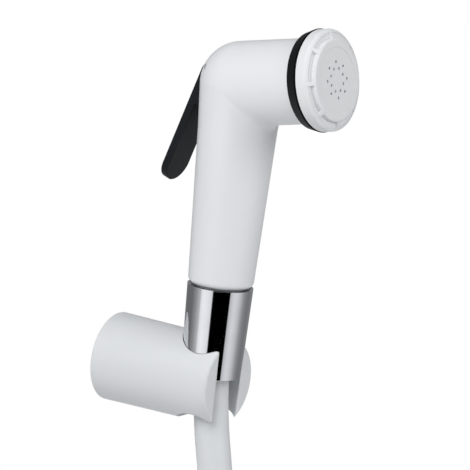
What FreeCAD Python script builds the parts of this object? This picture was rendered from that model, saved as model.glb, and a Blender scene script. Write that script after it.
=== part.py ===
import FreeCAD, Part
import Sketcher
import math
import os

# Handheld bidet shower: an elbow handset standing in its wall holder, with its hose.
# Frame: the origin is the centre of the holder's back face, the wall is the plane Y = 0,
# -Y points out of the wall, +X to the right when one looks at the wall, +Z up. Millimetres.

SIZES = {
    # holder on the wall
    "jawReach": 8.8,
    "holderBackRadius": 18.0,
    "holderTaper": 0.5,
    "holderEdge": 1.6,
    "standOff": 46.0,
    "slotWidth": 14.2,
    "jawTip": 3.0,
    "socketClearance": 0.15,
    "holderWall": 3.8,
    "cavityFloor": 3.0,
    "boreOverrun": 2.0,
    "plateClearance": 0.2,
    "plateThickness": 9.0,
    "screwSpacing": 14.0,
    "screwHoleRadius": 2.25,
    "screwHeadRadius": 4.2,
    "screwHeadDepth": 4.0,
    "grubOffset": 5.0,
    "grubRadius": 2.0,
    "grubRecess": 0.7,
    "grubTipRadius": 1.1,
    "grubTipDepth": 1.2,
    "grubKeyAcross": 2.0,
    "grubKeyDepth": 1.6,
    "grubClearance": 0.05,
    # chrome cone nut at the handset's foot
    "sleeveBottom": 2.2,
    "sleeveLength": 36.4,
    "sleeveTaper": 1.2,
    "sleeveWall": 1.25,
    "ferruleEase": 1.2,
    "lipWall": 0.9,
    "lipDepth": 1.1,
    "lipGap": 0.7,
    "threadRadius": 10.4,
    "threadClearance": 0.05,
    # handset body
    "footGap": 0.3,
    "footInset": 0.15,
    "footRounding": 2.8,
    "waistDrop": 17.9,
    "waistTaper": 1.15,
    "elbowHeight": 120.9,
    "elbowRadius": 17.05,
    "elbowFillet": 4.0,
    "tilt": 12.5,
    "barrelReach": 33.3,
    "waterBoreRadius": 6.0,
    "waterBoreDrop": 6.4,
    "chamberRadius": 8.0,
    "chamberBack": 4.2,
    "valveDepth": 26.0,
    "spigotWall": 1.6,
    "spigotStep": 1.25,
    # spray cap and black ring
    "ringOverhang": 3.55,
    "ringThickness": 4.7,
    "ringFlare": 1.2,
    "ringGrooveWidth": 0.7,
    "ringGrooveDepth": 0.5,
    "ringClearance": 0.05,
    "ringProud": 0.25,
    "capDepth": 6.7,
    "capBevelWidth": 4.5,
    "capBevelDepth": 2.7,
    "capBevelRounding": 1.1,
    "capFaceRounding": 0.5,
    "capPlate": 2.5,
    "gasketThickness": 0.8,
    "pocketCount": 8.0,
    "pocketRim": 1.5,
    "pocketWidth": 2.3,
    "pocketDepth": 1.95,
    "bridgeWidth": 1.7,
    "faceDiscRadius": 13.0,
    "faceDiscDepth": 0.12,
    "sprayCount": 8.0,
    "sprayHoleRadius": 0.62,
    "sprayOuterCircle": 7.15,
    "sprayInnerCircle": 4.75,
    # valve in the barrel
    "innerClearance": 0.1,
    "seatThickness": 4.0,
    "seatHoleRadius": 5.0,
    "seatLipHeight": 0.6,
    "seatLipWidth": 1.0,
    "sealThickness": 2.0,
    "sealOverlap": 1.0,
    "sealGap": 0.1,
    "stemRadius": 1.5,
    "stemTail": 1.4,
    "stemClearance": 0.1,
    "sealRim": 0.4,
    "stemFlangeThickness": 1.3,
    "stemPegRadius": 2.6,
    "stemPegLength": 3.0,
    "clipWall": 1.5,
    "clipThickness": 0.6,
    "carrierWall": 1.3,
    "carrierPlateFront": 6.0,
    "carrierPlateThickness": 2.0,
    "carrierHoleRadius": 2.2,
    "carrierRim": 1.4,
    "carrierHoleCount": 8.0,
    "springWireRadius": 0.4,
    "springEase": 0.9,
    "springTurns": 5.5,
    "springSeatGap": 0.04,
    "glandInset": 1.8,
    "glandDepth": 4.0,
    "glandRingSection": 0.8,
    "seatRingSection": 0.85,
    # lever on the back of the handle
    "leverWidth": 14.8,
    "leverClearance": 0.4,
    "leverPinInset": 5.65,
    "leverPinRise": 5.9,
    "leverPinRadius": 1.0,
    "leverPinRecess": 6.55,
    "leverPinClearance": 0.05,
    "leverBossRadius": 2.2,
    "leverShoulderTurn": 37.4,
    "leverTopBack": 4.22,
    "leverTopDrop": 1.9,
    "leverLean": 18.3,
    "leverLength": 49.7,
    "leverThickness": 3.4,
    "leverRootLength": 14.0,
    "leverThroatBack": 2.0,
    "leverEndFlat": 0.4,
    "leverNoseRadius": 2.0,
    "leverNoseGap": 0.1,
    "leverBevel": 0.8,
    "pocketFloorInset": 2.1,
    "pocketFloorDrop": 7.6,
    "glandRimWidth": 1.2,
    "pocketBottomDrop": 27.0,
    "pocketRampRise": 6.0,
    # hose, its end pieces and its coil
    "hoseRadius": 7.0,
    "hoseBoreRadius": 4.5,
    "hoseTop": 18.0,
    "barbLength": 17.0,
    "barbDepth": 0.05,
    "barbSlack": 0.05,
    "barbRoom": 1.0,
    "tailBoreRadius": 3.2,
    "ferruleLength": 20.0,
    "ferruleWall": 0.4,
    "neckRadius": 7.2,
    "neckLength": 6.5,
    "neckClearance": 0.08,
    "flangeEase": 0.8,
    "flangeThickness": 2.0,
    "washerThickness": 2.0,
    "washerBoreRadius": 6.2,
    "coilRadius": 75.4,
    "coilPitch": 14.6,
    "coilTurns": 2.0,
    "coilNotchClearance": 1.2,
    "coilEdge": 5.0,
    "tieWidth": 12.0,
    "tieWall": 1.2,
    "tieClearance": 0.35,
    "endNutWall": 1.55,
    "endNutHexLength": 11.0,
    "endNutCollarWall": 1.15,
    "endNutCollarLength": 6.1,
    "nutShoulder": 4.4,
}

# The hose's route: its points from the sleeve down to the coil, then from the coil to the
# supply nut. It leaves on the handle's axis and the coil's turns step back towards the wall.
AXIS = -SIZES["standOff"]
COIL_FRONT = AXIS - 15.0
COIL_BACK = COIL_FRONT + SIZES["coilPitch"] * SIZES["coilTurns"]
HOSE_DOWN = [
    (0.0, AXIS, SIZES["hoseTop"]),
    (0.0, AXIS, -7.0),
    (0.0, AXIS - 10.5, -50.8),
    (0.0, COIL_FRONT, -99.0),
    (0.0, COIL_FRONT, -143.0),
]
HOSE_END = [
    (0.0, COIL_BACK, -143.0),
    (0.0, COIL_BACK, -173.0),
    (-2.5, COIL_BACK - 0.8, -203.0),
    (-2.5, COIL_BACK - 0.8, -233.0),
]
ARC_SHARE = 0.45  # of the shorter run beside a point is turned into the arc
BARBS = 3  # on a hose tail
TOUCH = 1e-4  # places closer than this are the same

doc = FreeCAD.newDocument("BidetShower")
sheet = doc.addObject("Spreadsheet::Sheet", "Sizes")
for row, (alias, value) in enumerate(SIZES.items(), start=1):
    sheet.set(f"A{row}", alias)
    sheet.set(f"B{row}", str(value))
    sheet.setAlias(f"B{row}", alias)
doc.recompute()


class Size:
    """A number with the sheet expression that gives it."""

    def __init__(self, number, text):
        self.number = float(number)
        self.text = text

    def __add__(self, other):
        other = sizeOf(other)
        return Size(self.number + other.number, f"({self.text} + {other.text})")

    def __radd__(self, other):
        return sizeOf(other) + self

    def __sub__(self, other):
        other = sizeOf(other)
        return Size(self.number - other.number, f"({self.text} - {other.text})")

    def __rsub__(self, other):
        return sizeOf(other) - self

    def __mul__(self, other):
        other = sizeOf(other)
        return Size(self.number * other.number, f"({self.text} * {other.text})")

    def __rmul__(self, other):
        return self * other

    def __truediv__(self, other):
        other = sizeOf(other)
        return Size(self.number / other.number, f"({self.text} / {other.text})")

    def __rtruediv__(self, other):
        return sizeOf(other) / self

    def __neg__(self):
        return Size(-self.number, f"(0 - {self.text})")


def sizeOf(value):
    if isinstance(value, Size):
        return value
    return Size(value, f"({float(value)})")


def sine(angle):
    return Size(math.sin(math.radians(angle.number)), f"sin({angle.text})")


def cosine(angle):
    return Size(math.cos(math.radians(angle.number)), f"cos({angle.text})")


class Named:
    """The sheet's sizes, each under its own alias."""


s = Named()
for alias in SIZES:
    setattr(s, alias, Size(sheet.get(alias), f"Sizes.{alias}"))

nodes = {}


def bind(item, **values):
    for name, value in values.items():
        item.setExpression(name, sizeOf(value).text)
    return item


def vectorText(point):
    return "vector({}; {}; {})".format(*(sizeOf(value).text for value in point))


def place(item, base=(0, 0, 0), axis=(1, 0, 0), angle=0, along=0, spin=0):
    """Places an item by its base and turn, then moves it along its own axis and spins it there."""
    turn = f"rotation({vectorText(axis)}; {sizeOf(angle).text})"
    text = f"placement({vectorText(base)}; {turn})"
    if along or spin:
        own = f"rotation(vector(0; 0; 1); {sizeOf(spin).text})"
        text += f" * placement({vectorText((0, 0, along))}; {own})"
    item.setExpression("Placement", text)
    return item


def cylinder(name, radius, height, base=(0, 0, 0), axis=(1, 0, 0), angle=0):
    item = doc.addObject("Part::Cylinder", name)
    bind(item, Radius=radius, Height=height)
    return place(item, base, axis, angle)


def box(name, length, width, height, base=(0, 0, 0), axis=(0, 0, 1), angle=0):
    item = doc.addObject("Part::Box", name)
    bind(item, Length=length, Width=width, Height=height)
    return place(item, base, axis, angle)


def crosswise(name, radius, length, back, height):
    """A cylinder along X, centred on X = 0, at a place on the side view."""
    return cylinder(name, radius, length, (-length / 2, back, height), (0, 1, 0), 90)


def fused(name, *items):
    item = doc.addObject("Part::MultiFuse", name)
    item.Shapes = list(items)
    item.Refine = True
    return item


def cut(name, base, *tools):
    item = doc.addObject("Part::Cut", name)
    item.Base = base
    item.Tool = tools[0] if len(tools) == 1 else fused(name + "Tools", *tools)
    item.Refine = True
    return item


def sketchOn(body, name, role, outline):
    """A closed outline of straight edges, each corner held at its two sizes."""
    sketch = body.newObject("Sketcher::SketchObject", name)
    plane = [part for part in body.Origin.OriginFeatures if part.Role == role][0]
    sketch.AttachmentSupport = (plane, [""])
    sketch.MapMode = "FlatFace"
    corners = [(sizeOf(across), sizeOf(up)) for across, up in outline]
    count = len(corners)
    spots = [FreeCAD.Vector(across.number, up.number, 0) for across, up in corners]
    for here, after in zip(spots, spots[1:] + spots[:1]):
        sketch.addGeometry(Part.LineSegment(here, after), False)
    for index in range(count):
        sketch.addConstraint(Sketcher.Constraint("Coincident", index, 2, (index + 1) % count, 1))
    for index, corner in enumerate(corners):
        for kind, value, prefix in (("DistanceX", corner[0], "across"), ("DistanceY", corner[1], "up")):
            number = sketch.addConstraint(Sketcher.Constraint(kind, -1, 1, index, 1, value.number))
            sketch.renameConstraint(number, f"{prefix}{index}")
            sketch.setExpression(f".Constraints.{prefix}{index}", value.text)
    return sketch


def turned(name, outline):
    """A round piece about Z, from its half section: corners of (radius, height)."""
    body = doc.addObject("PartDesign::Body", name)
    sketch = sketchOn(body, name + "Section", "XZ_Plane", outline)
    revolution = body.newObject("PartDesign::Revolution", name + "Turn")
    revolution.Profile = sketch
    revolution.ReferenceAxis = (sketch, ["V_Axis"])
    revolution.Angle = 360
    body.Tip = revolution
    doc.recompute()
    return body


def plate(name, outline, width):
    """A piece of even width along X, from its side view: corners of (Y, Z)."""
    body = doc.addObject("PartDesign::Body", name)
    sketch = sketchOn(body, name + "Side", "YZ_Plane", outline)
    pad = body.newObject("PartDesign::Pad", name + "Pad")
    pad.Profile = sketch
    pad.SideType = "Symmetric"
    bind(pad, Length=width)
    body.Tip = pad
    doc.recompute()
    return body


def roundOff(body, radius, *rings):
    """Rounds circular edges of a turned piece, each named by its radius and height."""
    base = body.Tip
    wanted = [(sizeOf(ring).number, sizeOf(height).number) for ring, height in rings]
    names = []
    for index, edge in enumerate(base.Shape.Edges, start=1):
        if not isinstance(edge.Curve, Part.Circle):
            continue
        found = (edge.Curve.Radius, edge.Curve.Center.z)
        if any(math.dist(found, ring) < TOUCH for ring in wanted):
            names.append(f"Edge{index}")
    fillet = body.newObject("PartDesign::Fillet", f"{body.Name}Round{len(body.Group)}")
    fillet.Base = (base, names)
    bind(fillet, Radius=radius)
    body.Tip = fillet
    doc.recompute()
    return body


def soften(name, base, radius, chosen):
    """Rounds the edges of a fused piece that a test picks."""
    doc.recompute()
    item = doc.addObject("Part::Fillet", name)
    item.Base = base
    picked = [index for index, edge in enumerate(base.Shape.Edges, start=1) if chosen(edge)]
    item.Edges = [(index, radius.number, radius.number) for index in picked]
    return item


def around(count, shift=0):
    """The angles of things set evenly round an axis, turned on by a share of their pitch."""
    whole = round(count.number)
    return [sizeOf(360 * (index + shift) / whole) for index in range(whole)]


def onCircle(radius, angle):
    return (radius * sine(angle), radius * cosine(angle))


def solidFeature(name, shape):
    item = doc.addObject("Part::Feature", name)
    item.Shape = shape
    return item


# Sizes that follow from the others
nutBore = s.threadRadius + s.threadClearance
sleeveTop = s.sleeveBottom + s.sleeveLength
sleeveTopRadius = nutBore + s.sleeveWall + s.lipGap + s.lipWall
sleeveBottomRadius = sleeveTopRadius - s.sleeveTaper
footHeight = sleeveTop + s.footGap
footRadius = sleeveTopRadius - s.footInset
waistRadius = s.elbowRadius - s.waistTaper
spigotRadius = s.elbowRadius - s.spigotStep
spigotLength = s.ringThickness + s.capDepth - s.capPlate - s.gasketThickness
mouth = s.barrelReach + spigotLength
barrelBore = spigotRadius - s.spigotWall
seatShoulder = mouth - s.valveDepth
seatFront = seatShoulder + s.seatThickness
pinBack = s.elbowRadius - s.leverPinInset
pinHeight = s.elbowHeight + s.leverPinRise
glandFace = pinBack - s.glandInset
glandShoulder = glandFace - s.glandDepth
glandRadius = s.stemRadius + 2 * (s.glandRingSection + s.stemClearance)
stemEnd = glandFace + s.stemTail
flangeRadius = s.threadRadius - s.flangeEase
cavityRadius = s.holderBackRadius - s.holderWall
holderLength = s.standOff + s.jawReach

# Frames: the handle's axis, the barrel's axis from the elbow's centre, the hose's two ends
handleFrame = {"base": (0, -s.standOff, 0)}
barrelFrame = {"base": (0, -s.standOff, s.elbowHeight), "angle": 90 - s.tilt}
supplyFrame = {"base": HOSE_END[-1], "angle": 180}
hoseTopFrame = {"base": (0, -s.standOff, s.hoseTop)}


def node(label, item, frame=None, along=0):
    item.Label = label
    if frame:
        place(item, frame["base"], (1, 0, 0), frame.get("angle", 0), along)
    nodes[label] = item
    return item


def socketRadius(height):
    """The holder's bore follows the sleeve's cone, with its clearance."""
    slope = s.sleeveTaper / s.sleeveLength
    return sleeveBottomRadius + s.socketClearance + slope * (height - s.sleeveBottom)


def makeHolder():
    outer = doc.addObject("Part::Cone", "holderOuter")
    bind(outer, Radius1=s.holderBackRadius, Radius2=s.holderBackRadius - s.holderTaper,
         Height=holderLength)
    place(outer, (0, 0, 0), (1, 0, 0), 90)
    front = -holderLength.number + TOUCH
    shell = soften("holderShell", outer, s.holderEdge, lambda edge: edge.BoundBox.YMax < front)
    reach = s.holderBackRadius + s.boreOverrun
    bore = doc.addObject("Part::Cone", "holderBore")
    bind(bore, Radius1=socketRadius(-reach), Radius2=socketRadius(reach), Height=2 * reach)
    place(bore, (0, -s.standOff, -reach))
    # the mouth between the jaws: a slot that flares round the two tips
    tipBack = holderLength - s.jawTip
    flareHalf = s.slotWidth / 2 + s.jawTip
    front = holderLength + s.boreOverrun
    slot = box("slot", s.slotWidth, front - s.standOff, 2 * reach, (-s.slotWidth / 2, -front, -reach))
    flare = box("flare", 2 * flareHalf, front - tipBack, 2 * reach, (-flareHalf, -front, -reach))
    tips = [cylinder(f"tip{side}", s.jawTip, 2 * reach, (flareHalf * side, -tipBack, -reach))
            for side in (-1, 1)]
    mouth = cut("mouth", flare, *tips)
    cavityDepth = s.standOff - sleeveTopRadius - s.cavityFloor
    cavity = cylinder("cavity", cavityRadius, cavityDepth, (0, 0, 0), (1, 0, 0), 90)
    grubHole = cylinder("grubHole", s.grubRadius + s.grubClearance, reach, (0, -s.grubOffset, -reach))
    node("holder_body", cut("holder", shell, bore, slot, mouth, cavity, grubHole))

    plateRadius = cavityRadius - s.plateClearance
    disc = cylinder("plateDisc", plateRadius, s.plateThickness, (0, 0, 0), (1, 0, 0), 90)
    headBack = s.screwHeadDepth - s.plateThickness
    holes = []
    for side in (-1, 1):
        across = s.screwSpacing / 2 * side
        holes.append(cylinder(f"screwHole{side}", s.screwHoleRadius, s.plateThickness,
                              (across, 0, 0), (1, 0, 0), 90))
        holes.append(cylinder(f"screwHead{side}", s.screwHeadRadius, s.screwHeadDepth,
                              (across, headBack, 0), (1, 0, 0), 90))
    dimple = cylinder("plateDimple", s.grubTipRadius + s.grubClearance,
                      s.grubTipDepth + s.plateClearance, (0, -s.grubOffset, -cavityRadius))
    node("wall_plate", cut("wallPlate", disc, *holes, dimple))

    grubBottom = s.grubRecess - s.holderBackRadius
    shank = cylinder("grubShank", s.grubRadius, -cavityRadius - grubBottom,
                     (0, -s.grubOffset, grubBottom))
    tip = cylinder("grubTip", s.grubTipRadius, s.grubTipDepth + s.plateClearance / 2,
                   (0, -s.grubOffset, -cavityRadius))
    key = doc.addObject("Part::Prism", "grubKey")
    key.Polygon = 6
    bind(key, Circumradius=s.grubKeyAcross / math.sqrt(3), Height=s.grubKeyDepth)
    place(key, (0, -s.grubOffset, grubBottom))
    node("grub_screw", cut("grubScrew", fused("grubBlank", shank, tip), key))


def makeHandset():
    elbow = s.elbowHeight
    spigotFoot = s.hoseTop + s.neckLength + s.flangeThickness + s.washerThickness
    handle = turned("handle", [
        (0, footHeight),
        (footRadius, footHeight),
        (waistRadius, elbow - s.waistDrop),
        (s.elbowRadius, elbow),
        (0, elbow),
    ])
    roundOff(handle, s.footRounding, (footRadius, footHeight))
    place(handle, (0, 0, 0), (0, 0, 1), 90)
    ball = doc.addObject("Part::Sphere", "elbowBall")
    bind(ball, Radius=s.elbowRadius)
    ball.Angle1 = 0
    place(ball, (0, 0, elbow), (0, 0, 1), 90)
    barrel = cylinder("barrel", s.elbowRadius, s.barrelReach)
    place(barrel, (0, 0, elbow), (1, 0, 0), 90 - s.tilt, 0, 90)
    shell = fused("handsetShell", handle, ball, barrel)
    crease = soften("handsetSoft", shell, s.elbowFillet, isCrease)
    inlet = cylinder("inlet", s.threadRadius, footHeight - spigotFoot, (0, 0, spigotFoot))
    outlet = cylinder("outlet", spigotRadius, spigotLength)
    place(outlet, (0, 0, elbow), (1, 0, 0), 90 - s.tilt, s.barrelReach)
    solid = fused("handsetSolid", crease, inlet, outlet)
    bores = [
        cylinder(name, radius, end - start, (0, 0, start))
        for name, radius, start, end in (
            ("chamber", s.chamberRadius, -s.chamberBack, seatShoulder),
            ("barrelBore", barrelBore, seatShoulder, mouth),
            ("glandBore", glandRadius, -s.elbowRadius, -glandShoulder),
            ("stemHole", s.stemRadius + s.stemClearance, -glandShoulder, sizeOf(0)),
        )
    ]
    bores = place(fused("barrelBores", *bores), (0, 0, elbow), (1, 0, 0), 90 - s.tilt)
    waterTop = elbow - s.waterBoreDrop
    water = cylinder("waterBore", s.waterBoreRadius, waterTop - spigotFoot, (0, 0, spigotFoot))
    pinHole = crosswise("pinHole", s.leverPinRadius, 4 * s.elbowRadius, pinBack, pinHeight)
    body = cut("handset", solid, bores, water, makeLeverPocket(), pinHole)
    node("handset_body", body, handleFrame)


def isCrease(edge):
    """The seam under the barrel, where it leaves the handle: the one long edge that is no circle."""
    boxed = edge.BoundBox
    crossing = not isinstance(edge.Curve, (Part.Circle, Part.Line))
    return crossing and boxed.XLength > SIZES["elbowRadius"] and boxed.Center.y < 0


def barrelPoint(along, above):
    """A point of the side view (Y, Z) in the handle's frame, from its place on the barrel's axis."""
    lean, rise = cosine(s.tilt), sine(s.tilt)
    return (above * rise - along * lean, s.elbowHeight + along * rise + above * lean)


def makeLeverPocket():
    """The slot in the handle's back and the ball that the lever lies and swings in."""
    bottom = pinHeight - s.pocketBottomDrop
    floor = pinBack - s.pocketFloorInset
    outside = 2 * s.elbowRadius
    glandRim = glandRadius + s.glandRimWidth
    width = s.leverWidth + 2 * s.leverClearance
    topBack, topHeight = fromPin(s.leverTopBack + s.leverClearance, s.leverTopDrop - s.leverClearance)
    pocket = plate("pocketSide", [
        (pinBack, pinHeight),
        leverShoulder(s.leverBossRadius + s.leverClearance),
        (topBack, topHeight),
        (outside, topHeight),
        (outside, bottom),
        (waistRadius, bottom),
        (floor, bottom + s.pocketRampRise),
        (floor, s.elbowHeight - s.pocketFloorDrop),
        barrelPoint(-glandFace, -glandRim),
        barrelPoint(-glandFace, glandRim),
    ], width)
    boss = crosswise("bossSpace", s.leverBossRadius + s.leverClearance, width, pinBack, pinHeight)
    return fused("leverPocket", pocket, boss)


def fromPin(back, drop):
    """A corner of the lever's side view, from its pin."""
    return (pinBack + back, pinHeight - drop)


def leverShoulder(radius):
    """Where the lever's back runs into the round about its pin."""
    return (pinBack + radius * cosine(s.leverShoulderTurn), pinHeight + radius * sine(s.leverShoulderTurn))


def onPaddle(along, inward):
    """A corner of the lever's side view, along its back from the top, then in towards the handle."""
    back, height = fromPin(s.leverTopBack, s.leverTopDrop)
    lean, upright = sine(s.leverLean), cosine(s.leverLean)
    return (back + along * lean - inward * upright, height - along * upright - inward * lean)


def makeLever():
    nose = barrelPoint(-(stemEnd + s.leverNoseGap + s.leverNoseRadius), 0)
    root = onPaddle(s.leverRootLength, s.leverThickness)
    blade = plate("leverBlade", [
        (pinBack, pinHeight),
        leverShoulder(s.leverBossRadius),
        onPaddle(0, 0),
        onPaddle(s.leverLength, 0),
        onPaddle(s.leverLength, s.leverThickness),
        root,
        (pinBack + s.leverThroatBack, root[1]),
        nose,
    ], s.leverWidth)
    boss = crosswise("leverBoss", s.leverBossRadius, s.leverWidth, pinBack, pinHeight)
    knob = crosswise("leverNose", s.leverNoseRadius, s.leverWidth / 2, *nose)
    solid = fused("leverSolid", blade, boss, knob)
    tongue = soften("leverTongue", solid, s.leverWidth / 2 - s.leverEndFlat, isPaddleCorner)
    bevelled = soften("leverSoft", tongue, s.leverBevel, isPaddleBack)
    hole = crosswise("leverHole", s.leverPinRadius + s.leverPinClearance, 2 * s.leverWidth,
                     pinBack, pinHeight)
    node("trigger_lever", cut("lever", bevelled, hole), handleFrame)
    node("lever_pin", crosswise("leverPin", s.leverPinRadius, 2 * (s.elbowRadius - s.leverPinRecess),
                                pinBack - s.standOff, pinHeight))


def onLever(edge):
    """Where the middle of an edge lies on the lever: along its back, and in from it."""
    middle = edge.BoundBox.Center
    back, height = [value.number for value in onPaddle(0, 0)]
    lean = math.radians(s.leverLean.number)
    along = (middle.y - back) * math.sin(lean) - (middle.z - height) * math.cos(lean)
    inward = -(middle.y - back) * math.cos(lean) - (middle.z - height) * math.sin(lean)
    return along, inward


def isPaddleCorner(edge):
    """One of the two short edges across the lever's thickness at its free end."""
    along, inward = onLever(edge)
    atEnd = abs(along - s.leverLength.number) < TOUCH
    return atEnd and edge.BoundBox.XLength < TOUCH and inward > TOUCH


def isPaddleBack(edge):
    """An edge round the lever's back face, save the one at its top."""
    along, inward = onLever(edge)
    return abs(inward) < TOUCH and along > TOUCH


def makeValve():
    bore = barrelBore - s.innerClearance
    grooveMid = seatShoulder + s.seatThickness / 2
    grooveHalf = s.seatRingSection + s.innerClearance
    grooveFloor = bore - 2 * s.seatRingSection
    lipFront = seatFront + s.seatLipHeight
    node("valve_seat", turned("seat", [
        (s.seatHoleRadius, seatShoulder),
        (bore, seatShoulder),
        (bore, grooveMid - grooveHalf),
        (grooveFloor, grooveMid - grooveHalf),
        (grooveFloor, grooveMid + grooveHalf),
        (bore, grooveMid + grooveHalf),
        (bore, seatFront),
        (s.seatHoleRadius + s.seatLipWidth, seatFront),
        (s.seatHoleRadius + s.seatLipWidth, lipFront),
        (s.seatHoleRadius, lipFront),
    ]), barrelFrame)
    middle = bore - s.seatRingSection + s.innerClearance / 2
    node("seat_ring", torus("seatRing", middle, s.seatRingSection), barrelFrame, grooveMid)

    sealBack = lipFront + s.sealGap
    sealFront = sealBack + s.sealThickness
    flangeFront = sealFront + s.stemFlangeThickness
    sealRadius = s.seatHoleRadius + s.seatLipWidth + s.sealOverlap
    flange = sealRadius - s.sealRim
    node("valve_stem", turned("stem", [
        (0, -stemEnd),
        (s.stemRadius, -stemEnd),
        (s.stemRadius, sealFront),
        (flange, sealFront),
        (flange, flangeFront),
        (s.stemPegRadius, flangeFront),
        (s.stemPegRadius, flangeFront + s.stemPegLength),
        (0, flangeFront + s.stemPegLength),
    ]), barrelFrame)
    node("valve_seal", turned("seal", [
        (s.stemRadius, sealBack),
        (sealRadius, sealBack),
        (sealRadius, sealFront),
        (s.stemRadius, sealFront),
    ]), barrelFrame)
    clipRadius = s.stemRadius + s.clipWall
    node("stem_clip", turned("clip", [
        (s.stemRadius, sealBack - s.clipThickness),
        (clipRadius, sealBack - s.clipThickness),
        (clipRadius, sealBack),
        (s.stemRadius, sealBack),
    ]), barrelFrame)

    # the carrier clamps the seat and holds the front end of the spring on its spider
    plateFront = mouth - s.carrierPlateFront
    plateBack = plateFront - s.carrierPlateThickness
    bossBack = plateBack - s.carrierPlateThickness
    skirtInner = bore - s.carrierWall
    spider = turned("carrierBlank", [
        (0, bossBack),
        (s.stemPegRadius, bossBack),
        (s.stemPegRadius, plateBack),
        (skirtInner, plateBack),
        (skirtInner, seatFront),
        (bore, seatFront),
        (bore, mouth),
        (skirtInner, mouth),
        (skirtInner, plateFront),
        (0, plateFront),
    ])
    circle = skirtInner - s.carrierRim - s.carrierHoleRadius
    holes = [cylinder(f"carrierHole{index}", s.carrierHoleRadius, 2 * s.carrierPlateThickness,
                      (*onCircle(circle, angle), plateBack - s.carrierPlateThickness / 2))
             for index, angle in enumerate(around(s.carrierHoleCount))]
    node("spring_carrier", cut("carrier", spider, *holes), barrelFrame)
    seatGap = s.springWireRadius + s.springSeatGap
    makeSpring(flangeFront + seatGap, plateBack - seatGap)

    ringPlace = glandShoulder + s.glandRingSection + s.ringClearance
    nutFront = ringPlace + s.glandRingSection + s.ringClearance
    node("gland_nut", turned("glandNut", [
        (s.stemRadius + s.stemClearance, -glandFace),
        (glandRadius - s.innerClearance, -glandFace),
        (glandRadius - s.innerClearance, -nutFront),
        (s.stemRadius + s.stemClearance, -nutFront),
    ]), barrelFrame)
    middle = (s.stemRadius + glandRadius) / 2
    node("gland_ring", torus("glandRing", middle, s.glandRingSection), barrelFrame, -ringPlace)

    node("cap_gasket", turned("gasket", [
        (skirtInner, mouth),
        (spigotRadius, mouth),
        (spigotRadius, mouth + s.gasketThickness),
        (skirtInner, mouth + s.gasketThickness),
    ]), barrelFrame)


def torus(name, radius, section):
    """A rubber ring of round section."""
    item = doc.addObject("Part::Torus", name)
    return bind(item, Radius1=radius, Radius2=section)


def makeSpring(back, front):
    wire = s.springWireRadius.number
    radius = (s.stemPegRadius + s.springWireRadius + s.springEase).number
    length = (front - back).number
    helix = Part.makeHelix(length / s.springTurns.number, length, radius)
    profile = Part.Wire(Part.makeCircle(wire, FreeCAD.Vector(radius, 0, 0), FreeCAD.Vector(0, 1, 0)))
    coil = Part.Wire(helix.Edges).makePipeShell([profile], True, True)
    node("valve_spring", solidFeature("spring", coil), barrelFrame, back)


def makeCap():
    back = s.barrelReach + s.ringThickness
    front = back + s.capDepth
    bevelBack = front - s.capBevelDepth
    inner = spigotRadius + s.innerClearance
    ringRadius = s.elbowRadius + s.ringOverhang
    node("trim_ring", turned("trimRing", [
        (spigotRadius + s.ringClearance, s.barrelReach),
        (ringRadius - s.ringFlare, s.barrelReach),
        (ringRadius, back - s.ringGrooveWidth),
        (ringRadius - s.ringGrooveDepth, back - s.ringGrooveWidth),
        (ringRadius - s.ringGrooveDepth, back),
        (spigotRadius + s.ringClearance, back),
    ]), barrelFrame)

    capRadius = ringRadius - s.ringProud
    faceRadius = capRadius - s.capBevelWidth

    blank = turned("capBlank", [
        (0, front - s.capPlate),
        (inner, front - s.capPlate),
        (inner, back),
        (capRadius, back),
        (capRadius, bevelBack),
        (faceRadius, front),
        (s.faceDiscRadius, front),
        (s.faceDiscRadius, front - s.faceDiscDepth),
        (0, front - s.faceDiscDepth),
    ])
    roundOff(blank, s.capBevelRounding, (capRadius, bevelBack))
    roundOff(blank, s.capFaceRounding, (faceRadius, front))
    floor = front - s.pocketDepth
    pocketOuter = capRadius - s.pocketRim
    pocketInner = pocketOuter - s.pocketWidth
    channel = turned("pocketRing", [
        (pocketInner, floor),
        (pocketOuter, floor),
        (pocketOuter, front),
        (pocketInner, front),
    ])
    bridges = [box(f"bridge{index}", s.bridgeWidth, capRadius, s.pocketDepth,
                   (-s.bridgeWidth / 2 * cosine(angle), -s.bridgeWidth / 2 * sine(angle), floor),
                   (0, 0, 1), angle)
               for index, angle in enumerate(around(s.pocketCount))]
    pockets = cut("pockets", channel, *bridges)
    sprays = []
    for circle, shift in ((s.sprayOuterCircle, 0), (s.sprayInnerCircle, 0.5)):
        for angle in around(s.sprayCount, shift):
            sprays.append(cylinder(f"spray{len(sprays)}", s.sprayHoleRadius, 2 * s.capPlate,
                                   (*onCircle(circle, angle), floor - s.capPlate)))
    node("spray_cap", cut("cap", blank, pockets, *sprays), barrelFrame)


def makeSleeve():
    """The chrome cone nut: it pulls the hose's flange and washer onto the handset's inlet."""
    bottom = s.sleeveBottom - s.hoseTop
    top = sleeveTop - s.hoseTop
    hollow = s.hoseRadius + s.ferruleWall + s.ferruleEase
    shoulderTop = s.neckLength - s.neckClearance
    lipInner = sleeveTopRadius - s.lipWall
    node("hose_sleeve", turned("sleeve", [
        (hollow, bottom),
        (sleeveBottomRadius, bottom),
        (sleeveTopRadius, top),
        (lipInner, top),
        (lipInner, top - s.lipDepth),
        (lipInner - s.lipGap, top - s.lipDepth),
        (lipInner - s.lipGap, top),
        (nutBore, top),
        (nutBore, shoulderTop),
        (s.neckRadius + s.neckClearance, shoulderTop),
        (s.neckRadius + s.neckClearance, shoulderTop - s.nutShoulder),
        (hollow, shoulderTop - s.nutShoulder),
    ]), hoseTopFrame)


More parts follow.
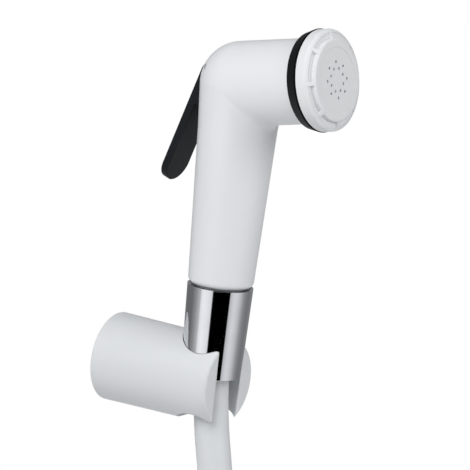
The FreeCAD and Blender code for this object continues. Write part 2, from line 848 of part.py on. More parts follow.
def makeHoseEnd(prefix, frame):
    """A hose end in its own frame: the hose stops at 0, and the fitting points along +Z."""
    outer = s.hoseRadius + s.ferruleWall
    node(f"{prefix}_ferrule", turned(prefix + "Ferrule", [
        (s.hoseRadius, -s.ferruleLength),
        (outer, -s.ferruleLength),
        (outer, 0),
        (s.hoseRadius, 0),
    ]), frame)
    crest = s.hoseBoreRadius - s.barbSlack
    root = crest - s.barbDepth
    pitch = s.barbLength / (BARBS + 1)
    teeth = []
    for index in range(BARBS):
        high = pitch * (index + 1) - s.barbLength
        teeth += [(crest, high - pitch / BARBS), (root, high)]
    flangeFront = s.neckLength + s.flangeThickness
    node(f"{prefix}_tail", turned(prefix + "Tail", [
        (s.tailBoreRadius, -s.barbLength),
        (root, -s.barbLength),
        *teeth,
        (root, 0),
        (s.neckRadius, 0),
        (s.neckRadius, s.neckLength),
        (flangeRadius, s.neckLength),
        (flangeRadius, flangeFront),
        (s.tailBoreRadius, flangeFront),
    ]), frame)
    node(f"{prefix}_washer", turned(prefix + "Washer", [
        (s.washerBoreRadius, flangeFront),
        (flangeRadius, flangeFront),
        (flangeRadius, flangeFront + s.washerThickness),
        (s.washerBoreRadius, flangeFront + s.washerThickness),
    ]), frame)


def makeEndNut():
    """The supply nut, free to turn on the neck of the hose's lower end."""
    shoulderTop = s.neckLength - s.neckClearance
    bottom = shoulderTop - s.nutShoulder
    collarTop = bottom + s.endNutCollarLength
    front = collarTop + s.endNutHexLength
    relief = s.neckLength + s.flangeThickness + s.washerThickness
    hexagon = doc.addObject("Part::Prism", "endHex")
    hexagon.Polygon = 6
    across = 2 * (nutBore + s.endNutWall)
    bind(hexagon, Circumradius=across / math.sqrt(3), Height=s.endNutHexLength)
    place(hexagon, (0, 0, collarTop))
    collar = cylinder("endCollar", nutBore + s.endNutCollarWall, s.endNutCollarLength, (0, 0, bottom))
    bore = cylinder("endBore", nutBore, front - relief, (0, 0, relief))
    space = cylinder("endSpace", (flangeRadius + s.threadRadius) / 2, relief - shoulderTop,
                     (0, 0, shoulderTop))
    hole = cylinder("endHole", s.neckRadius + s.neckClearance, s.nutShoulder, (0, 0, bottom))
    node("end_nut", cut("endNut", fused("endBlank", hexagon, collar), bore, space, hole), supplyFrame)


def route(points):
    """A path of straight runs joined by tangent arcs, and the arcs' radii."""
    spots = [FreeCAD.Vector(*point) for point in points]
    edges, radii, start = [], [], spots[0]
    for before, here, after in zip(spots, spots[1:], spots[2:]):
        back = before - here
        ahead = after - here
        reach = ARC_SHARE * min(back.Length, ahead.Length)
        turn = math.pi - back.getAngle(ahead)
        radii.append(reach / math.tan(turn / 2))
        enter = here + back.normalize() * reach
        leave = here + ahead.normalize() * reach
        inward = (enter + leave) / 2 - here
        rise = radii[-1] / math.cos(turn / 2) - radii[-1]
        middle = here + inward.normalize() * rise
        edges.append(Part.LineSegment(start, enter).toShape())
        edges.append(Part.Arc(enter, middle, leave).toShape())
        start = leave
    edges.append(Part.LineSegment(start, spots[-1]).toShape())
    return Part.Wire(edges), radii


def makeHoseRun(label, points, radius):
    wire, radii = route(points)
    towards = FreeCAD.Vector(*points[1]) - FreeCAD.Vector(*points[0])
    section = Part.Wire(Part.makeCircle(radius, FreeCAD.Vector(*points[0]), towards))
    tube = wire.makePipeShell([section], True, False)
    expected = math.pi * radius**2 * wire.Length
    print(label, "length", round(wire.Length, 1), "arc radii", [round(value, 1) for value in radii],
          "volume over section times length", round(tube.Volume / expected, 5))
    return solidFeature(label + "Tube", tube), wire.Length


def makeHose():
    radius = s.hoseRadius.number
    upper, upperLength = makeHoseRun("hose", HOSE_DOWN, radius)
    lower, lowerLength = makeHoseRun("hose_end", HOSE_END, radius)
    socketDepth = s.barbLength + s.barbRoom
    topSocket = cylinder("hoseTopSocket", s.hoseBoreRadius, socketDepth,
                         (0, -s.standOff, s.hoseTop - socketDepth))
    endSocket = cylinder("hoseEndSocket", s.hoseBoreRadius, socketDepth, HOSE_END[-1])
    node("hose", cut("hoseTube", upper, topSocket))
    node("hose_end", cut("hoseEndTube", lower, endSocket))

    # the coil: a ring as wide as its turns, axis along Y, entered and left at its left side
    firstLayer, lastLayer = -HOSE_DOWN[-1][1], -HOSE_END[0][1]
    level = HOSE_DOWN[-1][2]
    bundle = s.coilPitch * s.coilTurns
    middle = (firstLayer + lastLayer) / 2
    half = bundle / 2 + s.hoseRadius
    inner, outer = s.coilRadius - s.hoseRadius, s.coilRadius + s.hoseRadius
    band = turned("coilRing", [(inner, -half), (outer, -half), (outer, half), (inner, half)])
    roundOff(band, s.coilEdge, (inner, -half), (outer, -half), (outer, half), (inner, half))
    place(band, (s.coilRadius, -middle, level), (1, 0, 0), 90)
    notchRadius = s.hoseRadius + s.coilNotchClearance
    notches = [
        cylinder("coilNotchIn", notchRadius, 2 * s.coilRadius, (0, -firstLayer, level)),
        cylinder("coilNotchOut", notchRadius, 2 * s.coilRadius, (0, -lastLayer, level - 2 * s.coilRadius)),
    ]
    # at the tie the strands are drawn together, so the ring has a waist there
    strands = s.coilPitch / 2 + s.hoseRadius
    far = 2 * s.coilRadius
    waistLength = s.tieWidth + 2 * s.tieWall
    block = half - strands + s.hoseRadius
    for side in (-1, 1):
        edge = -middle + strands * side
        start = edge if side > 0 else edge - block
        notches.append(box(f"coilWaist{side}", 4 * s.hoseRadius, block, waistLength,
                           (far - 2 * s.hoseRadius, start, level - waistLength / 2)))
    node("hose_coil", cut("coil", band, *notches))

    gap = s.tieClearance
    across, deep = s.hoseRadius + gap, strands + gap
    outside = box("tieOutside", 2 * (across + s.tieWall), 2 * (deep + s.tieWall), s.tieWidth,
                  (far - across - s.tieWall, -middle - deep - s.tieWall, level - s.tieWidth / 2))
    inside = box("tieInside", 2 * across, 2 * deep, 2 * s.tieWidth,
                 (far - across, -middle - deep, level - s.tieWidth))
    node("hose_tie", cut("tie", outside, inside))
    turn = math.hypot(2 * math.pi * s.coilRadius.number, s.coilPitch.number)
    total = upperLength + lowerLength + turn * s.coilTurns.number
    print("hose length in all", round(total, 1))


makeHolder()
makeHandset()
makeLever()
makeValve()
makeCap()
makeSleeve()
makeHoseEnd("hose_top", hoseTopFrame)
makeHoseEnd("supply", supplyFrame)
makeEndNut()
makeHose()
doc.recompute()

for item in doc.Objects:
    if "Invalid" in item.State or "Error" in item.State:
        raise RuntimeError(f"{item.Name} failed: {item.State}")
for label, item in nodes.items():
    shape = item.Shape
    if shape.isNull() or not shape.isValid() or len(shape.Solids) != 1:
        raise RuntimeError(f"{label}: not one valid solid ({len(shape.Solids)})")

os.makedirs("parts", exist_ok=True)
for label, item in nodes.items():
    item.Shape.exportStep(f"parts/{label}.step")
print(len(nodes), "nodes written")
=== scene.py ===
import math

import bmesh
import bpy
from mathutils import Matrix, Vector


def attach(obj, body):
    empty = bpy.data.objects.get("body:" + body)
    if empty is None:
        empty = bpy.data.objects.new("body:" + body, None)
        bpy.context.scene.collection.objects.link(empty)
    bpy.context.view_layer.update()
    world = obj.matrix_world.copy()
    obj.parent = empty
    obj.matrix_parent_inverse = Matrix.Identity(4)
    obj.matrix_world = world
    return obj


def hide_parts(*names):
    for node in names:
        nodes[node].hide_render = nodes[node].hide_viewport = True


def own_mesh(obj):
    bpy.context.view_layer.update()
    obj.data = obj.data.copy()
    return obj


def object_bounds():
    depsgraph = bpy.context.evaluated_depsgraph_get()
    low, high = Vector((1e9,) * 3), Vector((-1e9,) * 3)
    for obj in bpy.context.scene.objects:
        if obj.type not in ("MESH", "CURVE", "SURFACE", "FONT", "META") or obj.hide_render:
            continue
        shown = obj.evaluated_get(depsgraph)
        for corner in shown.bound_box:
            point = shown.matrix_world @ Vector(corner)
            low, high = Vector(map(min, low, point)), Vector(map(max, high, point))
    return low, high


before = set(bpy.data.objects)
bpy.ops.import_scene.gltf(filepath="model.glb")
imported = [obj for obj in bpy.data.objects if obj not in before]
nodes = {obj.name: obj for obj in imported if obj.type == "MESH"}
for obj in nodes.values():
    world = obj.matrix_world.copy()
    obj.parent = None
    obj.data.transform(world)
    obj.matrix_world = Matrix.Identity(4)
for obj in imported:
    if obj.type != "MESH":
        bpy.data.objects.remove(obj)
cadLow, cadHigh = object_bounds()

# Handheld bidet shower standing in its wall holder. -Y points out of the wall, +Z up.
# Sizes are in mm unless a note says otherwise, and times mm they are the scene's metres.
mm = 0.001

camera = {
    "target": (0.0, -48.9, 58.6),
    "azimuth": -58.1,                  # degrees round from straight in front
    "elevation": 11.15,
    "roll": 6.29,                      # the set leans to the right in the picture
    "slide": (1.26, 1.18),             # to the picture's right and up
    "pictureHeight": 187.6,            # of the set from the picture's bottom to its top
    "lens": 496.0,
    "sensor": 36.0,
    "clip": (0.05, 50.0),              # m
}


def makeCamera():
    azimuth, elevation, roll = (math.radians(camera[name]) for name in ("azimuth", "elevation", "roll"))
    back = Vector((math.sin(azimuth) * math.cos(elevation), -math.cos(azimuth) * math.cos(elevation),
                   math.sin(elevation)))
    level = Vector((0, 0, 1)).cross(back).normalized()
    rise = back.cross(level)
    right = level * math.cos(roll) + rise * math.sin(roll)
    up = rise * math.cos(roll) - level * math.sin(roll)
    lensData = bpy.data.cameras.new("camera")
    lensData.lens = camera["lens"]
    lensData.sensor_width = camera["sensor"]
    lensData.clip_start, lensData.clip_end = camera["clip"]
    seen = bpy.data.objects.new("camera", lensData)
    bpy.context.scene.collection.objects.link(seen)
    across, higher = camera["slide"]
    middle = (Vector(camera["target"]) + right * across + up * higher) * mm
    distance = camera["pictureHeight"] * mm * camera["lens"] / camera["sensor"]
    turn = Matrix((right, up, back)).transposed().to_4x4()
    seen.matrix_world = Matrix.Translation(middle + back * distance) @ turn
    bpy.context.scene.camera = seen
    return right, back


pictureRight, pictureBack = makeCamera()
print("camera ready")


def newMaterial(name):
    material = bpy.data.materials.new(name)
    material.use_nodes = True
    return material, material.node_tree, material.node_tree.nodes["Principled BSDF"]


def placeIn(tree, stretch=(1, 1, 1)):
    coordinates = tree.nodes.new("ShaderNodeTexCoord")
    mapping = tree.nodes.new("ShaderNodeMapping")
    mapping.inputs["Scale"].default_value = stretch
    tree.links.new(coordinates.outputs["Object"], mapping.inputs["Vector"])
    return mapping.outputs["Vector"]


def grain(tree, size, detail=3.0, stretch=(1, 1, 1), rough=0.5):
    noise = tree.nodes.new("ShaderNodeTexNoise")
    noise.inputs["Scale"].default_value = 1000.0 / size
    noise.inputs["Detail"].default_value = detail
    noise.inputs["Roughness"].default_value = rough
    tree.links.new(placeIn(tree, stretch), noise.inputs["Vector"])
    return noise.outputs["Fac"]


def between(tree, fac, low, high, start=0.3, end=0.7):
    span = tree.nodes.new("ShaderNodeMapRange")
    span.inputs["From Min"].default_value = start
    span.inputs["From Max"].default_value = end
    span.inputs["To Min"].default_value = low
    span.inputs["To Max"].default_value = high
    tree.links.new(fac, span.inputs["Value"])
    return span.outputs["Result"]


def blendColour(tree, fac, first, second):
    mix = tree.nodes.new("ShaderNodeMix")
    mix.data_type = "RGBA"
    tree.links.new(fac, mix.inputs["Factor"])
    for socket, colour in (("A", first), ("B", second)):
        target = [item for item in mix.inputs if item.name == socket and item.type == "RGBA"][0]
        target.default_value = (*colour, 1)
    return [item for item in mix.outputs if item.type == "RGBA"][0]


def joined(tree, how, first, second):
    result = tree.nodes.new("ShaderNodeMath")
    result.operation = how
    tree.links.new(first, result.inputs[0])
    tree.links.new(second, result.inputs[1])
    return result.outputs[0]


def raised(tree, height, distance, strength=1.0, under=None):
    bump = tree.nodes.new("ShaderNodeBump")
    bump.inputs["Distance"].default_value = distance * mm
    bump.inputs["Strength"].default_value = strength
    tree.links.new(height, bump.inputs["Height"])
    if under:
        tree.links.new(under, bump.inputs["Normal"])
    return bump.outputs["Normal"]


def softEdges(tree, radius, samples=6):
    bevel = tree.nodes.new("ShaderNodeBevel")
    bevel.samples = samples
    bevel.inputs["Radius"].default_value = radius * mm
    return bevel.outputs["Normal"]


plastics = {
    "handsetWhite": {"colour": (0.80, 0.815, 0.83), "shade": (0.785, 0.80, 0.817), "gloss": (0.28, 0.34),
                     "edge": 0.35, "texture": 0.005, "waves": 0.012, "shine": 0.5},
    "holderWhite": {"colour": (0.75, 0.767, 0.783), "shade": (0.732, 0.748, 0.765), "gloss": (0.38, 0.45),
                    "edge": 0.6, "texture": 0.01, "waves": 0.012, "shine": 0.5},
    "capWhite": {"colour": (0.80, 0.81, 0.82), "shade": (0.785, 0.795, 0.808), "gloss": (0.34, 0.40),
                 "edge": 0.15, "texture": 0.005, "waves": 0.006, "shine": 0.5},
    "leverBlack": {"colour": (0.008, 0.010, 0.0125), "shade": (0.0055, 0.007, 0.009), "gloss": (0.42, 0.52),
                   "edge": 0.35, "texture": 0.02, "waves": 0.01, "shine": 0.17},
    "ringBlack": {"colour": (0.008, 0.0085, 0.0095), "shade": (0.005, 0.0055, 0.006), "gloss": (0.42, 0.52),
                  "edge": 0.15, "texture": 0.012, "waves": 0.006, "shine": 0.17},
    "carrierGrey": {"colour": (0.45, 0.46, 0.47), "shade": (0.40, 0.41, 0.42), "gloss": (0.42, 0.55),
                    "edge": 0.15, "texture": 0.01, "waves": 0.006, "shine": 0.5},
    "ferruleWhite": {"colour": (0.76, 0.775, 0.79), "shade": (0.74, 0.755, 0.77), "gloss": (0.35, 0.45),
                     "edge": 0.1, "texture": 0.006, "waves": 0.004, "shine": 0.5},
}

moulding = {                           # shared by the plastics
    "cloud": 38.0,                     # slow changes of tone
    "rubbed": 26.0,                    # places that hands have polished
    "rubbedStretch": (1, 1, 0.6),
    "rubbedSpan": (0.15, 0.85),
    "waves": 22.0,
    "texture": 0.45,
    "strength": 0.5,
    "ior": 1.49,
}


def plastic(name):
    look = plastics[name]
    material, tree, shader = newMaterial(name)
    cloud = grain(tree, moulding["cloud"], 2)
    tone = blendColour(tree, between(tree, cloud, 0, 1), look["colour"], look["shade"])
    tree.links.new(tone, shader.inputs["Base Color"])
    rubbed = grain(tree, moulding["rubbed"], 2, moulding["rubbedStretch"])
    tree.links.new(between(tree, rubbed, *look["gloss"], *moulding["rubbedSpan"]),
                   shader.inputs["Roughness"])
    edges = softEdges(tree, look["edge"])
    broad = raised(tree, grain(tree, moulding["waves"], 1), look["waves"], moulding["strength"], edges)
    fine = raised(tree, grain(tree, moulding["texture"], 2), look["texture"], moulding["strength"], broad)
    tree.links.new(fine, shader.inputs["Normal"])
    shader.inputs["IOR"].default_value = moulding["ior"]
    shader.inputs["Specular IOR Level"].default_value = look["shine"]
    return material


metals = {
    "chrome": {"colour": (0.80, 0.81, 0.83), "shade": (0.76, 0.77, 0.79), "gloss": (0.035, 0.075),
               "smudge": 7, "texture": 0.0006, "edge": 0.12},
    "brass": {"colour": (0.62, 0.44, 0.20), "shade": (0.55, 0.38, 0.16), "gloss": (0.22, 0.36),
              "smudge": 3, "texture": 0.004, "edge": 0.1},
    "steel": {"colour": (0.52, 0.53, 0.54), "shade": (0.45, 0.46, 0.47), "gloss": (0.25, 0.4),
              "smudge": 2, "texture": 0.004, "edge": 0.08},
    "zinc": {"colour": (0.50, 0.51, 0.52), "shade": (0.42, 0.43, 0.45), "gloss": (0.45, 0.6),
             "smudge": 4, "texture": 0.02, "edge": 0.3},
}

plating = {                            # shared by the metals
    "wiped": 0.6,                      # times the size of the smudges
    "wipedStretch": (1, 1, 0.3),
    "wipedRough": 0.6,
    "texture": 0.6,
    "strength": 0.5,
}


def metal(name):
    look = metals[name]
    material, tree, shader = newMaterial(name)
    smudge = grain(tree, look["smudge"], 4)
    tree.links.new(blendColour(tree, between(tree, smudge, 0, 1), look["colour"], look["shade"]),
                   shader.inputs["Base Color"])
    wiped = grain(tree, look["smudge"] * plating["wiped"], 5, plating["wipedStretch"],
                  plating["wipedRough"])
    tree.links.new(between(tree, wiped, *look["gloss"]), shader.inputs["Roughness"])
    edges = softEdges(tree, look["edge"])
    fine = raised(tree, grain(tree, plating["texture"], 2), look["texture"], plating["strength"], edges)
    tree.links.new(fine, shader.inputs["Normal"])
    shader.inputs["Metallic"].default_value = 1.0
    return material


rubberLook = {
    "colour": (0.022, 0.022, 0.023),
    "dust": (0.034, 0.034, 0.035),
    "dustSize": 1.5,
    "gloss": (0.55, 0.75),
    "grain": 0.3,
    "height": 0.01,
}


def rubber():
    material, tree, shader = newMaterial("rubber")
    dust = grain(tree, rubberLook["dustSize"], 4)
    tree.links.new(blendColour(tree, between(tree, dust, 0, 1), rubberLook["colour"], rubberLook["dust"]),
                   shader.inputs["Base Color"])
    tree.links.new(between(tree, dust, *rubberLook["gloss"]), shader.inputs["Roughness"])
    tree.links.new(raised(tree, grain(tree, rubberLook["grain"], 2), rubberLook["height"]),
                   shader.inputs["Normal"])
    return material


hoseLook = {
    "colour": (0.75, 0.77, 0.785),
    "shade": (0.725, 0.742, 0.76),
    "cloud": 16.0,
    "rubbed": 5.0,
    "gloss": (0.3, 0.42),
    "swell": (12.0, 0.05),             # size and height
    "texture": (0.7, 0.008),
    "strength": 0.5,
    "ior": 1.5,
}


def hosePlastic():
    material, tree, shader = newMaterial("hosePlastic")
    cloud = between(tree, grain(tree, hoseLook["cloud"], 3), 0, 1)
    tree.links.new(blendColour(tree, cloud, hoseLook["colour"], hoseLook["shade"]),
                   shader.inputs["Base Color"])
    tree.links.new(between(tree, grain(tree, hoseLook["rubbed"], 4), *hoseLook["gloss"]),
                   shader.inputs["Roughness"])
    size, height = hoseLook["swell"]
    swell = raised(tree, grain(tree, size, 1), height, hoseLook["strength"])
    size, height = hoseLook["texture"]
    tree.links.new(raised(tree, grain(tree, size, 2), height, hoseLook["strength"], swell),
                   shader.inputs["Normal"])
    shader.inputs["IOR"].default_value = hoseLook["ior"]
    return material


strapLook = {
    "colour": (0.018, 0.019, 0.021),
    "worn": (0.035, 0.036, 0.038),
    "ribs": 330.0,
    "ribBend": 0.4,
    "fuzz": 2.0,
    "gloss": (0.7, 0.85),
    "height": 0.12,
}


def strapWeave():
    material, tree, shader = newMaterial("strapWeave")
    ribs = []
    for axis in ("X", "Z"):
        wave = tree.nodes.new("ShaderNodeTexWave")
        wave.bands_direction = axis
        wave.inputs["Scale"].default_value = strapLook["ribs"]
        wave.inputs["Distortion"].default_value = strapLook["ribBend"]
        tree.links.new(placeIn(tree), wave.inputs["Vector"])
        ribs.append(wave.outputs["Fac"])
    crossing = joined(tree, "MULTIPLY", *ribs)
    tree.links.new(blendColour(tree, crossing, strapLook["colour"], strapLook["worn"]),
                   shader.inputs["Base Color"])
    tree.links.new(between(tree, grain(tree, strapLook["fuzz"], 3), *strapLook["gloss"]),
                   shader.inputs["Roughness"])
    tree.links.new(raised(tree, crossing, strapLook["height"]), shader.inputs["Normal"])
    return material


finishes = {name: plastic(name) for name in plastics}
finishes.update({name: metal(name) for name in metals})
finishes.update({"rubber": rubber(), "hosePlastic": hosePlastic(), "strapWeave": strapWeave()})

finishOf = {
    "holder_body": "holderWhite", "wall_plate": "zinc", "grub_screw": "steel",
    "handset_body": "handsetWhite", "spray_cap": "capWhite", "trim_ring": "ringBlack",
    "trigger_lever": "leverBlack", "lever_pin": "steel",
    "gland_nut": "brass", "gland_ring": "rubber", "valve_seat": "carrierGrey", "seat_ring": "rubber",
    "valve_stem": "brass", "valve_seal": "rubber", "stem_clip": "steel",
    "spring_carrier": "carrierGrey", "cap_gasket": "rubber",
    "hose_sleeve": "chrome", "hose_top_washer": "rubber", "hose_top_tail": "brass",
    "hose_top_ferrule": "ferruleWhite", "supply_ferrule": "ferruleWhite", "supply_tail": "brass",
    "supply_washer": "rubber", "end_nut": "chrome",
}
for nodeName, finish in finishOf.items():
    mesh = nodes[nodeName].data
    mesh.materials.clear()
    mesh.materials.append(finishes[finish])
print("materials ready")

hose = {
    "radius": 7.0,
    "length": 1200.3,
    "exit": (0.0, -46.0, 2.2),
    "down": [(0.0, -46.0, 18.0), (0.0, -46.0, -7.0), (0.0, -56.5, -50.8), (0.0, -61.0, -99.0)],
    "coilCentre": (75.4, -143.0),      # X and Z
    "coilRadius": 76.9,                # of the guiding points, the line runs at 75.4
    "coilFront": -61.0,
    "coilBack": -31.8,
    "turns": 2,
    "pointsPerTurn": 16,
    "smoothness": (10, 14),            # round the hose, along it
    "end": [(0.0, -31.8, -173.0), (-2.5, -32.6, -203.0), (-2.5, -32.6, -233.0)],
}


def coilPoints():
    count = hose["turns"] * hose["pointsPerTurn"]
    middleX, middleZ = hose["coilCentre"]
    points = []
    for step in range(count):
        share = (step + 0.5) / count
        angle = share * hose["turns"] * 2 * math.pi
        points.append((middleX - hose["coilRadius"] * math.cos(angle),
                       hose["coilFront"] + (hose["coilBack"] - hose["coilFront"]) * share,
                       middleZ - hose["coilRadius"] * math.sin(angle)))
    return points


def makeHose():
    points = hose["down"] + coilPoints() + hose["end"]
    curve = bpy.data.curves.new("hoseLine", "CURVE")
    curve.dimensions = "3D"
    curve.bevel_depth = hose["radius"] * mm
    curve.bevel_resolution, curve.resolution_u = hose["smoothness"]
    line = curve.splines.new("NURBS")
    line.points.add(len(points) - 1)
    for spot, point in zip(line.points, points):
        spot.co = (*(Vector(point) * mm), 1)
    line.order_u = 3
    line.use_endpoint_u = True
    line.use_smooth = True
    piece = bpy.data.objects.new("whiteHose", curve)
    bpy.context.scene.collection.objects.link(piece)
    curve.materials.append(finishes["hosePlastic"])
    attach(piece, "base")
    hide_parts("hose", "hose_coil", "hose_end")
    return piece


hosePiece = makeHose()
print("hose ready")

strap = {
    "across": 150.8,                   # X of the strands at the tie
    "level": -143.0,
    "strands": (-53.7, -39.1),         # Y of the two strands
    "inner": 7.4,
    "thickness": 1.0,
    "width": 11.6,
    "corner": 0.35,                    # taken off its long edges
    "steps": 14,                       # along each half round
    "flap": (200.0, 130.0),            # the free end: where it starts round the front strand, its turn
    "flapLift": 1.02,                  # times the thickness
    "tip": 0.86,                       # share of the free end where it narrows
    "tipNarrowing": 0.55,
}


def strapPath():
    reach = strap["inner"] + strap["thickness"] / 2
    front, back = strap["strands"]
    path = []
    for middle, start in ((back, 0.0), (front, 180.0)):
        for step in range(strap["steps"] + 1):
            angle = math.radians(start + 180.0 * step / strap["steps"])
            outward = Vector((math.cos(angle), math.sin(angle), 0))
            path.append((Vector((strap["across"], middle, strap["level"])) + outward * reach, outward))
    return path


def flapWidth(share):
    return 1.0 - strap["tipNarrowing"] * max(0.0, share - strap["tip"]) / (1 - strap["tip"])


def makeStrap():
    mesh = bmesh.new()
    half = strap["width"] / 2
    thick = strap["thickness"] / 2
    edge = strap["corner"]
    section = [(-thick, -half + edge), (-thick + edge, -half), (thick - edge, -half), (thick, -half + edge),
               (thick, half - edge), (thick - edge, half), (-thick + edge, half), (-thick, half - edge)]

    def sweep(path, closed, taper):
        rings = []
        for index, (spot, outward) in enumerate(path):
            narrow = taper(index / (len(path) - 1))
            rings.append([mesh.verts.new((spot + outward * out + Vector((0, 0, up * narrow))) * mm)
                          for out, up in section])
        pairs = list(zip(rings, rings[1:] + rings[:1])) if closed else list(zip(rings, rings[1:]))
        for first, second in pairs:
            for side in range(len(section)):
                after = (side + 1) % len(section)
                mesh.faces.new((first[side], first[after], second[after], second[side]))
        if not closed:
            mesh.faces.new(rings[0][::-1])
            mesh.faces.new(rings[-1])

    sweep(strapPath(), True, lambda share: 1.0)
    lift = strap["thickness"] * strap["flapLift"]
    front = strap["strands"][0]
    reach = strap["inner"] + strap["thickness"] / 2 + lift
    start, turn = strap["flap"]
    flap = []
    for step in range(strap["steps"] + 1):   # the free end follows the front half round
        angle = math.radians(start + turn * step / strap["steps"])
        outward = Vector((math.cos(angle), math.sin(angle), 0))
        flap.append((Vector((strap["across"], front, strap["level"])) + outward * reach, outward))
    sweep(flap, False, flapWidth)
    data = bpy.data.meshes.new("coilStrap")
    bmesh.ops.recalc_face_normals(mesh, faces=mesh.faces)
    mesh.to_mesh(data)
    mesh.free()
    for face in data.polygons:
        face.use_smooth = True
    piece = bpy.data.objects.new("coilStrap", data)
    bpy.context.scene.collection.objects.link(piece)
    data.materials.append(finishes["strapWeave"])
    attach(piece, "base")
    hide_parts("hose_tie")
    return piece


strapPiece = makeStrap()
print("strap ready")

returnSpring = {
    "elbow": (0.0, -46.0, 120.9),      # where the barrel's axis starts
    "tilt": 12.5,                      # the barrel's rise, degrees
    "start": 23.84,                    # along the barrel, at the stem's flange
    "end": 32.96,                      # at the carrier
    "radius": 3.9,
    "wire": 0.4,
    "turns": 5.5,
    "pointsPerTurn": 24,
    "smoothness": 3,                   # round the wire
    "travel": 1.149,                   # of the stem when the lever is pressed
}


def makeReturnSpring():
    tilt = math.radians(returnSpring["tilt"])
    along = Vector((0, -math.cos(tilt), math.sin(tilt)))
    above = Vector((0, math.sin(tilt), math.cos(tilt)))
    elbow = Vector(returnSpring["elbow"])
    length = returnSpring["end"] - returnSpring["start"]
    count = round(returnSpring["turns"] * returnSpring["pointsPerTurn"])
    curve = bpy.data.curves.new("springLine", "CURVE")
    curve.dimensions = "3D"
    curve.bevel_depth = returnSpring["wire"] * mm
    curve.bevel_resolution = returnSpring["smoothness"]
    curve.use_fill_caps = True
    line = curve.splines.new("POLY")
    line.points.add(count)
    for step, spot in enumerate(line.points):
        share = step / count
        angle = 2 * math.pi * returnSpring["turns"] * share
        outward = Vector((math.cos(angle), 0, 0)) + above * math.sin(angle)
        point = elbow + along * (returnSpring["start"] + length * share) + outward * returnSpring["radius"]
        spot.co = (*(point * mm), 1)
    line.use_smooth = True
    drawn = bpy.data.objects.new("springLine", curve)
    data = bpy.data.meshes.new_from_object(drawn)
    bpy.data.objects.remove(drawn)
    data.materials.clear()
    data.materials.append(finishes["steel"])
    piece = bpy.data.objects.new("returnSpring", data)
    bpy.context.scene.collection.objects.link(piece)
    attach(piece, "base")
    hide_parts("valve_spring")
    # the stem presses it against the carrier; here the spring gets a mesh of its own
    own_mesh(piece)


makeReturnSpring()
print("spring ready")

studio = {                             # in metres
    "floorDrop": 0.002,                # below the supply nut
    "floorRadius": 4.0,
    "floorSegments": 96,
    "floorRoughness": 0.9,
    "shadowRadius": (0.35, 0.75),      # the floor turns from pale to white between these
    "floorColour": (0.80, 0.80, 0.80),
    "ambient": 0.41,
    "ambientColour": (0.97, 0.985, 1.0),
    "lamps": {
        "keyLamp": {"toward": (-0.7, 1.0, 0.8), "distance": 0.95, "size": 0.6, "watts": 5.5},
        "fillLamp": {"toward": (1.0, 0.45, 0.5), "distance": 1.1, "size": 0.5, "watts": 3.7},
    },
}


def cameraWhite(tree):
    light = tree.nodes.new("ShaderNodeLightPath")
    total = light.outputs["Is Camera Ray"]
    for name in ("Is Glossy Ray", "Is Transmission Ray"):
        total = joined(tree, "MAXIMUM", total, light.outputs[name])
    return total


def makeWorld():
    world = bpy.data.worlds.new("studioAir")
    bpy.context.scene.world = world
    world.use_nodes = True
    tree = world.node_tree
    tree.nodes.clear()
    ambient = tree.nodes.new("ShaderNodeBackground")
    ambient.inputs["Color"].default_value = (*studio["ambientColour"], 1)
    ambient.inputs["Strength"].default_value = studio["ambient"]
    white = tree.nodes.new("ShaderNodeBackground")
    white.inputs["Color"].default_value = (1, 1, 1, 1)
    mix = tree.nodes.new("ShaderNodeMixShader")
    tree.links.new(cameraWhite(tree), mix.inputs["Fac"])
    tree.links.new(ambient.outputs[0], mix.inputs[1])
    tree.links.new(white.outputs[0], mix.inputs[2])
    output = tree.nodes.new("ShaderNodeOutputWorld")
    tree.links.new(mix.outputs[0], output.inputs["Surface"])


def makeFloor():
    mesh = bmesh.new()
    bmesh.ops.create_circle(mesh, cap_ends=True, segments=studio["floorSegments"],
                            radius=studio["floorRadius"])
    data = bpy.data.meshes.new("floorDisc")
    mesh.to_mesh(data)
    mesh.free()
    floor = bpy.data.objects.new("floorDisc", data)
    floor.location = (0, 0, cadLow.z - studio["floorDrop"])
    bpy.context.scene.collection.objects.link(floor)
    material, tree, shader = newMaterial("floorPale")
    shader.inputs["Base Color"].default_value = (*studio["floorColour"], 1)
    shader.inputs["Roughness"].default_value = studio["floorRoughness"]
    white = tree.nodes.new("ShaderNodeEmission")
    white.inputs["Color"].default_value = (1, 1, 1, 1)
    coordinates = tree.nodes.new("ShaderNodeTexCoord")
    length = tree.nodes.new("ShaderNodeVectorMath")
    length.operation = "LENGTH"
    tree.links.new(coordinates.outputs["Object"], length.inputs[0])
    far = between(tree, length.outputs["Value"], 0, 1, *studio["shadowRadius"])
    mix = tree.nodes.new("ShaderNodeMixShader")
    tree.links.new(joined(tree, "MULTIPLY", far, cameraWhite(tree)), mix.inputs["Fac"])
    tree.links.new(shader.outputs[0], mix.inputs[1])
    tree.links.new(white.outputs[0], mix.inputs[2])
    tree.links.new(mix.outputs[0], tree.nodes["Material Output"].inputs["Surface"])
    data.materials.append(material)


def makeLamps():
    target = Vector(camera["target"]) * mm
    for name, lamp in studio["lamps"].items():
        across, near, up = lamp["toward"]   # to the picture's right, to the camera, straight up
        toward = (pictureRight * across + pictureBack * near + Vector((0, 0, 1)) * up).normalized()
        data = bpy.data.lights.new(name, "AREA")
        data.size = lamp["size"]
        data.energy = lamp["watts"]
        item = bpy.data.objects.new(name, data)
        item.location = target + toward * lamp["distance"]
        item.rotation_mode = "QUATERNION"
        item.rotation_quaternion = (-toward).to_track_quat("-Z", "Y")
        item.visible_glossy = False
        bpy.context.scene.collection.objects.link(item)


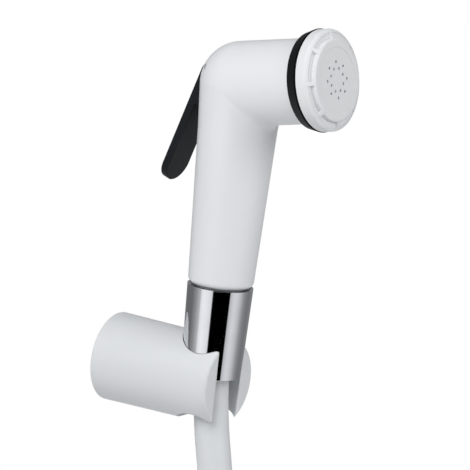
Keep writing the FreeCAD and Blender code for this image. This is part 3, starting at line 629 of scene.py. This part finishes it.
tent = {                               # in metres
    "centre": (0, -0.046, 0),
    "radius": 0.7,
    "low": -0.5,
    "high": 1.3,
    "segments": 180,
    "blue": 1.03,                      # times the brightness
    "facing": -148.05,                 # the direction that the cone nut's middle mirrors, degrees
    # angle from there, brightness: the bands that the chrome shows from left to right
    "bands": [(-180, 0.25), (-147, 0.16), (-106, 0.17), (-85, 0.33), (-68, 0.57), (-64, 0.90), (-52, 1.02),
              (-35, 0.93), (-24, 0.80), (-22, 0.0), (38, 0.0), (40, 0.55), (50, 0.72), (60, 0.79),
              (77, 0.64), (92, 0.39), (103, 0.27), (123, 0.20), (157, 0.25), (180, 0.25)],
}


def makeTent():
    mesh = bmesh.new()
    low = []
    for index in range(tent["segments"]):
        angle = 2 * math.pi * index / tent["segments"]
        low.append(mesh.verts.new((tent["radius"] * math.cos(angle), tent["radius"] * math.sin(angle),
                                   tent["low"])))
    high = [mesh.verts.new((vert.co.x, vert.co.y, tent["high"])) for vert in low]
    for index in range(tent["segments"]):
        after = (index + 1) % tent["segments"]
        mesh.faces.new((low[index], low[after], high[after], high[index]))
    data = bpy.data.meshes.new("reflectionTent")
    mesh.to_mesh(data)
    mesh.free()
    item = bpy.data.objects.new("reflectionTent", data)
    item.location = tent["centre"]
    item.rotation_euler = (0, 0, math.radians(tent["facing"]))
    bpy.context.scene.collection.objects.link(item)
    for rays in ("visible_camera", "visible_diffuse", "visible_shadow", "visible_transmission",
                 "visible_volume_scatter"):
        setattr(item, rays, False)
    material, tree, shader = newMaterial("tentCards")
    tree.nodes.remove(shader)
    glow = tree.nodes.new("ShaderNodeEmission")
    gradient = tree.nodes.new("ShaderNodeTexGradient")
    gradient.gradient_type = "RADIAL"
    coordinates = tree.nodes.new("ShaderNodeTexCoord")
    tree.links.new(coordinates.outputs["Object"], gradient.inputs["Vector"])
    ramp = tree.nodes.new("ShaderNodeValToRGB")
    stops = ramp.color_ramp.elements
    for angle, _ in tent["bands"][1:-1]:
        stops.new((angle + 180) / 360)
    for stop, (_, level) in zip(stops, tent["bands"]):
        stop.color = (level, level, level * tent["blue"], 1)
    tree.links.new(gradient.outputs["Fac"], ramp.inputs["Fac"])
    tree.links.new(ramp.outputs["Color"], glow.inputs["Color"])
    tree.links.new(glow.outputs[0], tree.nodes["Material Output"].inputs["Surface"])
    data.materials.append(material)


makeWorld()
makeFloor()
makeLamps()
makeTent()
bpy.context.scene.view_settings.view_transform = "Standard"
print("studio ready")
